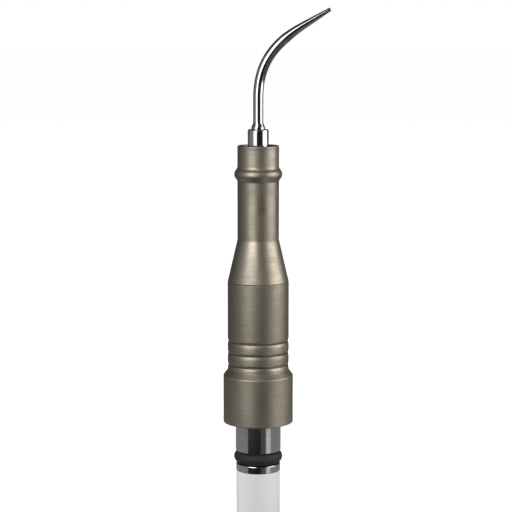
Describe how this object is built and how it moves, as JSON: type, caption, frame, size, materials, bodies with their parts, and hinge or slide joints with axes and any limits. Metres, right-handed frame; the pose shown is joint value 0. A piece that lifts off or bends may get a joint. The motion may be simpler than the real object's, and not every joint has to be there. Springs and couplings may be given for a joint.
{
  "type": "ultrasonic scaler handpiece",
  "caption": "Slim piezo ultrasonic dental scaler handpiece with a curved screw-on steel tip, turned metal casing and plug-in rear end with seal ring.",
  "frame": {"origin": "centre of the flat rear end face, at the mouth of the water port", "axes": "+Z along the handpiece towards the tip; the tip bends towards +X; the plug's keyway is on +Y"},
  "size_m": [0.0244, 0.016, 0.1185],
  "materials": {
    "casing_metal": "satin turned, champagne grey anodised",
    "polished_steel": "polished",
    "tip_steel": "polished stainless steel",
    "black_rubber": "matte",
    "pale_insulator": "matte",
    "titanium": "fine turned",
    "piezo_ceramic": "matte ceramic",
    "beryllium_copper": "satin",
    "gold_plate": "polished",
    "amber_film": "gloss",
    "white_plastic": "matte",
    "clear_hose": "soft gloss",
    "bolt_steel": "machined",
    "red_lead": "soft matte",
    "black_lead": "soft matte",
    "nut_brass": "machined"
  },
  "bodies": {
    "handpiece": {"nose_sleeve": "casing_metal", "nose_seal": "black_rubber", "grip_sleeve": "casing_metal", "casing_seal": "black_rubber", "plug_body": "polished_steel", "plug_seal": "black_rubber", "connector_insulator": "pale_insulator", "insulator_nut": "nut_brass", "insulator_key": "bolt_steel", "live_socket": "gold_plate", "return_socket": "gold_plate", "water_nozzle": "bolt_steel", "water_port_seal": "black_rubber", "water_hose": "clear_hose", "rear_damper": "black_rubber", "front_damper": "black_rubber"},
    "transducer": {"horn": "titanium", "horn_seal": "black_rubber", "tip_stud": "bolt_steel", "piezo_ring_1": "piezo_ceramic", "piezo_ring_2": "piezo_ceramic", "piezo_ring_3": "piezo_ceramic", "piezo_ring_4": "piezo_ceramic", "live_electrode": "beryllium_copper", "return_electrodes": "beryllium_copper", "stack_sleeve": "amber_film", "bolt_sleeve": "white_plastic", "back_mass": "bolt_steel", "preload_bolt": "bolt_steel", "live_wire": "red_lead", "return_wire": "black_lead"},
    "tip_carrier": {"tip_seal": "black_rubber"},
    "tip": {"scaler_tip": "tip_steel"}
  },
  "joints": [
    {"name": "ultrasonic_stroke", "type": "slide", "parent": "handpiece", "child": "transducer", "axis": [0, 0, 1], "range_m": [-0.00005, 0.00005], "stiffness_N_per_m": 20000},
    {"name": "tip_lift", "type": "slide", "parent": "transducer", "child": "tip_carrier", "axis": [0, 0, 1], "range_m": [0, 0.003]},
    {"name": "tip_turn", "type": "hinge", "parent": "tip_carrier", "child": "tip", "pos_m": [0, 0, 0.0831], "axis": [0, 0, 1], "range_deg": [0, 2160]}
  ],
  "couplings": [
    {"joint": "tip_turn", "follows": "tip_lift", "rad_per_m": 12566}
  ]
}
